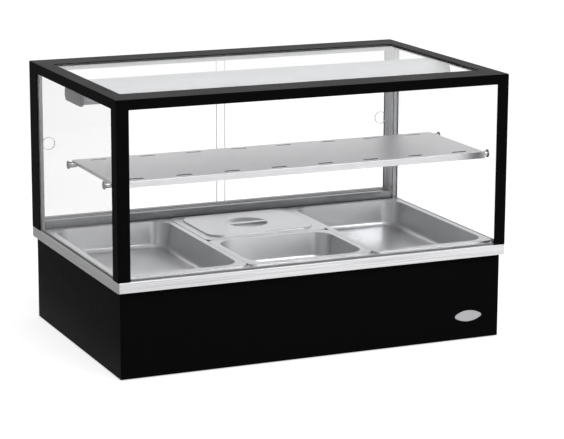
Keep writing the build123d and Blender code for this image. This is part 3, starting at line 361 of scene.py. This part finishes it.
def pressed_stainless(name, dark, light, hair, gloss):
    """Satin pressed steel: hair is the length of its hair lines in metres, gloss two roughnesses."""
    finish, tree, place = start(name)
    drift = add(tree, "ShaderNodeTexNoise", {"Vector": place, "Scale": 1 / gloss_drift, "Detail": 2.0})
    hairs = None
    for turn in hair_turns:
        turned = add(tree, "ShaderNodeMapping", {
            "Vector": place, "Rotation": (turn, turn, turn),
            "Scale": (1 / hair, hair_slimness / hair, hair_slimness / hair)})
        one = add(tree, "ShaderNodeTexNoise", {"Vector": turned.outputs[0], "Scale": 1.0, "Detail": 1.0})
        line = add(tree, "ShaderNodeMapRange", {
            "Value": one.outputs["Fac"], "From Min": 0.62, "From Max": 0.8}).outputs[0]
        hairs = line if hairs is None else add(
            tree, "ShaderNodeMath", {0: hairs, 1: line}, operation="MAXIMUM").outputs[0]
    mixed = add(tree, "ShaderNodeMix", {0: 0.35, 2: drift.outputs["Fac"], 3: hairs}).outputs[0]
    colour = add(tree, "ShaderNodeMix", {0: mixed, 6: srgb(dark), 7: srgb(light)}, data_type="RGBA")
    rough = add(tree, "ShaderNodeMapRange", {"Value": mixed, "To Min": gloss[0], "To Max": gloss[1]})
    bump = add(tree, "ShaderNodeBump", {"Height": hairs, "Strength": 0.1, "Distance": 0.0001})
    metal = add(tree, "ShaderNodeBsdfPrincipled", {
        "Base Color": colour.outputs[2], "Metallic": 1.0, "Roughness": rough.outputs[0],
        "Normal": bump.outputs[0]})
    add(tree, "ShaderNodeOutputMaterial", {"Surface": metal.outputs[0]})
    return finish


# Real hair lines are 10 mm long and far finer than the 1 mm that they are drawn at.
pan_steel = pressed_stainless("satin_pressed_stainless", "#c0c1c3", "#dedee0", 0.014, (0.28, 0.4))
dress(pan_steel, "pan_left", "pan_right", "half_pan_front", "half_pan_rear", "half_pan_lid")


# Door tracks: extruded aluminium, anodised grey, with a black wiper pushed in along the front foot
# of the lower one. The glides under the doors are black nylon.
def place_piece(name, mesh_or_curve, finish, body):
    """Adds a piece with its finish and the body that it rides on."""
    piece = bpy.data.objects.new(name, mesh_or_curve)
    mesh_or_curve.materials.append(finish)
    scene.collection.objects.link(piece)
    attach(piece, body)
    return piece


def box_mesh(name, x, y, z, soft):
    """A box between two limits on each axis, its edges rounded by soft."""
    work = bmesh.new()
    bmesh.ops.create_cube(work, size=1.0)
    for corner in work.verts:
        corner.co = [low if side < 0 else high for side, (low, high) in zip(corner.co, (x, y, z))]
    bmesh.ops.bevel(work, geom=work.edges[:], offset=soft, segments=3, affect="EDGES", profile=0.5)
    mesh = bpy.data.meshes.new(name)
    work.to_mesh(mesh)
    work.free()
    return mesh


dress(skin("grey_anodised_aluminium", "#747678", "#888a8c", 0.002, (0.3, 0.4), {"Metallic": 1.0}),
      "door_track_bottom", "door_track_top")
soften(0.0004, "door_track_bottom", "door_track_top")
black_nylon = skin("moulded_black_nylon", "#141415", "#1e1e1f", 0.001, (0.35, 0.5))
dress(black_nylon, "door_glides_left", "door_glides_right")
track_low, track_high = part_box("door_track_bottom")
wiper_thickness = 0.0018
wiper_height = 0.0045
wiper = box_mesh(
    "track_wiper", (track_low[0], track_high[0]), (track_low[1] - wiper_thickness, track_low[1]),
    (track_low[2], track_low[2] + wiper_height), wiper_thickness / 4)
place_piece("track_wiper", wiper, skin("black_silicone", "#0c0c0c", "#161616", 0.001, (0.45, 0.6)),
            "cabinet")


# Jamb laps: strips of 0.8 mm duller stainless, glued to the rear posts' front faces inside the glass.
# They cover the posts' black coat there, as the jambs do inside the posts.
lap_steel = brushed_stainless(
    "brushed_stainless_lap", "#8e8e90", "#a6a6a8", 0.0014, 0.25, (0.4, 0.55), upright=True)
lap_sheet = 0.0008
deck_top = track_low[2]
frame_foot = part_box("top_frame")[0][2]
for side in ("left", "right"):
    post_low, post_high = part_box("rear_post_" + side)
    pane_low, pane_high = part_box("side_glass_" + side)
    wide = (pane_high[0], post_high[0]) if side == "left" else (post_low[0], pane_low[0])
    lap = box_mesh("jamb_lap_" + side, wide, (post_low[1] - lap_sheet, post_low[1]),
                   (deck_top, frame_foot), lap_sheet / 4)
    place_piece("jamb_lap_" + side, lap, lap_steel, "cabinet")


# Panes: clear float glass, 5 mm thick, toughened, with ground edges that look frosted and grey.
# Float glass has an IOR of 1.52; the photographed panes mirror less than that, and 1.25 matches them.
glass_ior = 1.52
pane_ior = 1.25
pane_face = 0.9
smear_size = 0.167
ground_grit = 0.0011


def float_glass(name, pane_axis):
    """A pane that is clear through its faces, which point along pane_axis, and frosted at its edges."""
    finish, tree, place = start(name)
    square_on = facing(tree, pane_axis)
    at_edge = add(tree, "ShaderNodeMath", {0: square_on, 1: pane_face}, operation="LESS_THAN").outputs[0]
    smear = add(tree, "ShaderNodeTexNoise", {"Vector": place, "Scale": 1 / smear_size, "Detail": 4.0})
    polish = add(tree, "ShaderNodeMapRange", {
        "Value": smear.outputs["Fac"], "From Min": 0.5, "From Max": 0.9, "To Min": 0.0, "To Max": 0.03})
    clear = add(tree, "ShaderNodeBsdfPrincipled", {
        "Base Color": srgb("#ffffff"), "Roughness": polish.outputs[0], "IOR": pane_ior,
        "Transmission Weight": 1.0})
    grit = add(tree, "ShaderNodeTexNoise", {"Vector": place, "Scale": 1 / ground_grit}).outputs["Fac"]
    frost = add(tree, "ShaderNodeMix", {
        0: grit, 6: srgb("#a9adab"), 7: srgb("#c6c9c8")}, data_type="RGBA")
    ground = add(tree, "ShaderNodeBsdfPrincipled", {
        "Base Color": frost.outputs[2], "Roughness": 0.5, "IOR": glass_ior, "Transmission Weight": 0.35})
    pane = add(tree, "ShaderNodeMixShader", {0: at_edge, 1: clear.outputs[0], 2: ground.outputs[0]})
    open_way = add(tree, "ShaderNodeBsdfTransparent", {"Color": srgb("#f8f8f8")})
    lamp_ray = add(tree, "ShaderNodeLightPath").outputs["Is Shadow Ray"]
    through = add(tree, "ShaderNodeMixShader", {0: lamp_ray, 1: pane.outputs[0], 2: open_way.outputs[0]})
    add(tree, "ShaderNodeOutputMaterial", {"Surface": through.outputs[0]})
    return finish


for axis, panes in (
    ("X", ("side_glass_left", "side_glass_right")),
    ("Y", ("front_glass", "door_glass_left", "door_glass_right")),
    ("Z", ("top_glass",)),
):
    dress(float_glass("clear_float_glass_" + axis.lower(), axis), *panes)

# Glass seals: silicone strip, extruded, milky and half clear, under the panes and along their back
# edges. The top glass hangs on a strip of grey foam.
dress(skin("milky_silicone", "#b9babb", "#c9cacb", 0.002, (0.4, 0.55), {"Transmission Weight": 0.25}),
      "glass_seals")
dress(skin("grey_silicone_foam", "#4a4b4c", "#5a5b5c", 0.002, (0.5, 0.65)), "top_glass_seal")

# Shelf: stainless sheet with a finer, paler grain than the deck's. Its studs and their caps are turned
# from polished stainless bar.
shelf_low, shelf_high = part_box("shelf")
flange_inset = 0.005
slot_field = [[low + flange_inset for low in shelf_low], [high - flange_inset for high in shelf_high]]
# Its slot walls are painted dark, as the shade inside the slots.
shelf_steel = brushed_stainless(
    "brushed_stainless_shelf", "#c4c4c6", "#d6d6d8", 0.0016, 0.3, (0.34, 0.44), cut=slot_field)
dress(shelf_steel, "shelf")
polished_steel = skin("polished_stainless", "#9c9d9f", "#b3b4b6", 0.004, (0.1, 0.18), {"Metallic": 1.0})
dress(polished_steel, "shelf_studs", "stud_caps", "lamp_reflector")

# Lamp hood: rolled sheet in light grey stove enamel between two moulded end caps.
# The enamel has a faint orange peel; the caps are mid-grey ABS with a fine spark texture.
dress(skin("light_grey_stove_enamel", "#8b8d90", "#999b9e", 0.003, (0.5, 0.6), {"Specular IOR Level": 0.2}),
      "lamp_hood")
dress(skin("moulded_grey_abs", "#636364", "#757576", 0.001, (0.4, 0.55), {"Specular IOR Level": 0.2}),
      "hood_end_caps")

# Lamp: a clear quartz tube with a coiled tungsten filament down its axis, held by the two holders.
# The filament's real pitch is under 1 mm and is drawn at 6 mm, so that its turns show.
quartz = skin(
    "clear_quartz", "#f2f1ec", "#fbfaf6", 0.004, (0.02, 0.06), {"IOR": 1.46, "Transmission Weight": 1.0})
dress(quartz, "lamp_tube")
tube_low, tube_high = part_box("lamp_tube")
filament_pitch = 0.006
filament_radius = 0.002
filament_wire = 0.0003
filament_end = 0.02
steps_in_turn = 12
coil_start = tube_low[0] + filament_end
coil_length = tube_high[0] - tube_low[0] - 2 * filament_end
coil_y = (tube_low[1] + tube_high[1]) / 2
coil_z = (tube_low[2] + tube_high[2]) / 2
coil_steps = round(coil_length / filament_pitch * steps_in_turn)
filament = bpy.data.curves.new("filament", "CURVE")
filament.dimensions = "3D"
filament.bevel_depth = filament_wire
filament.bevel_resolution = 1
coil = filament.splines.new("POLY")
coil.points.add(coil_steps)
for step, point in enumerate(coil.points):
    turn = 2 * math.pi * step / steps_in_turn
    point.co = (
        coil_start + coil_length * step / coil_steps,
        coil_y + filament_radius * math.cos(turn),
        coil_z + filament_radius * math.sin(turn),
        1.0,
    )
tungsten = skin("drawn_tungsten", "#6a6762", "#85817a", 0.001, (0.3, 0.45), {"Metallic": 1.0})
place_piece("filament", filament, tungsten, "cabinet")

# Controls: thermostat, knob, rockers and their housings are moulded in black nylon and coloured
# polycarbonate; the gland is nylon too. The dial and the marks are pad-printed in light grey.
dress(black_nylon, "thermostat_body", "thermostat_knob", "switch_housings", "cable_gland")
dress(skin("amber_polycarbonate", "#c8630f", "#e07a1a", 0.002, (0.1, 0.2), {"Transmission Weight": 0.5}),
      "indicator_lamp")
dress(skin("green_polycarbonate", "#0f6a2a", "#168038", 0.002, (0.15, 0.3)), "power_rocker")
dress(skin("red_polycarbonate", "#9c1410", "#b81d17", 0.002, (0.15, 0.3)), "lamp_rocker")
print_ink = skin("light_grey_print", "#c9c9c6", "#d8d8d5", 0.001, (0.5, 0.6))
print_depth = 0.0001


def printed(name, words, size, place, lean, body):
    """Words printed on a face that looks to the back: lean is how far its top tips to the back."""
    text = bpy.data.curves.new(name, "FONT")
    text.body = words
    text.size = size
    text.align_x = "CENTER"
    text.align_y = "CENTER"
    text.extrude = print_depth
    reading = Vector((-1, 0, 0))
    upward = Vector((0, math.sin(lean), math.cos(lean)))
    piece = place_piece(name, text, print_ink, body)
    piece.matrix_world = Matrix.Translation(place) @ Matrix(
        (reading, upward, reading.cross(upward))).transposed().to_4x4()
    return piece


panel_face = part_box("back_panel")[1][1]
knob_low, knob_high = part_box("thermostat_knob")
knob_x = (knob_low[0] + knob_high[0]) / 2
knob_z = (knob_low[2] + knob_high[2]) / 2
dial_numbers = 7
dial_turn = math.radians(270)
tick_start = 0.0205
tick_end = 0.0235
tick_width = 0.0008
number_radius = 0.0275
number_size = 0.005
ticks = bmesh.new()
tick_count = 2 * (dial_numbers - 1) + 1
for tick in range(tick_count):
    turn = dial_turn * tick / (tick_count - 1)
    outward = Vector((-math.sin(turn), 0, math.cos(turn)))
    across = Vector((-math.cos(turn), 0, -math.sin(turn))) * tick_width / 2
    middle = Vector((knob_x, panel_face + print_depth, knob_z))
    reach = tick_end if tick % 2 == 0 else (tick_start + tick_end) / 2
    corners = [middle + outward * far + across * side for far, side in (
        (tick_start, -1), (tick_start, 1), (reach, 1), (reach, -1))]
    ticks.faces.new([ticks.verts.new(corner) for corner in corners])
    if tick % 2 == 0:
        printed("dial_number_%d" % (tick // 2), str(tick // 2), number_size,
                middle + outward * number_radius, 0.0, "cabinet")
tick_mesh = bpy.data.meshes.new("dial_ticks")
bmesh.ops.recalc_face_normals(ticks, faces=ticks.faces[:])
ticks.to_mesh(tick_mesh)
ticks.free()
place_piece("dial_ticks", tick_mesh, print_ink, "cabinet")

# Pointer: a moulded line in light grey, let into the knob's grip, so that the knob's setting
# can be read against the dial.
pointer_width = 0.0014
pointer_depth = 0.0004
pointer_start = 0.004
pointer_end = 0.0155
pointer = box_mesh(
    "knob_pointer", (knob_x - pointer_width / 2, knob_x + pointer_width / 2),
    (knob_high[1] - pointer_depth / 2, knob_high[1] + pointer_depth / 2),
    (knob_z + pointer_start, knob_z + pointer_end), pointer_depth / 4)
place_piece("knob_pointer", pointer, print_ink, "thermostat_knob")

# Rocker marks: a line for on and a ring for off, printed on the two facets of each rocker.
# A rocker is a shallow V, tipped about its pins; its facets lean by the V's angle less or plus the tip.
rocker_tip = math.radians(7.0)
rocker_rise = 0.0065
rocker_dip = 0.0015
rocker_half_height = 0.01305
facet_lean = math.atan2(rocker_dip, rocker_half_height)
facet_middle = rocker_half_height / 2
facet_rise = rocker_rise - rocker_dip / 2
mark_size = 0.006
for switch in ("power_rocker", "lamp_rocker"):
    rocker_low, rocker_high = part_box(switch)
    pin = Vector(((rocker_low[0] + rocker_high[0]) / 2, panel_face, knob_z))
    for words, side in (("I", 1), ("O", -1)):
        rise = facet_rise + print_depth
        along = side * facet_middle
        middle = pin + Vector((
            0,
            rise * math.cos(rocker_tip) - along * math.sin(rocker_tip),
            rise * math.sin(rocker_tip) + along * math.cos(rocker_tip)))
        printed(switch + "_" + words, words, mark_size, middle, side * facet_lean - rocker_tip, switch)

# Plate on the base: a bare stamping in satin stainless, with a raised border around a sunk field.
# It is dull enough to look mid grey beside the black coat.
dress(pressed_stainless("satin_stainless_plate", "#9d9da0", "#b9b9bc", 0.01, (0.3, 0.42)), "oval_plate")
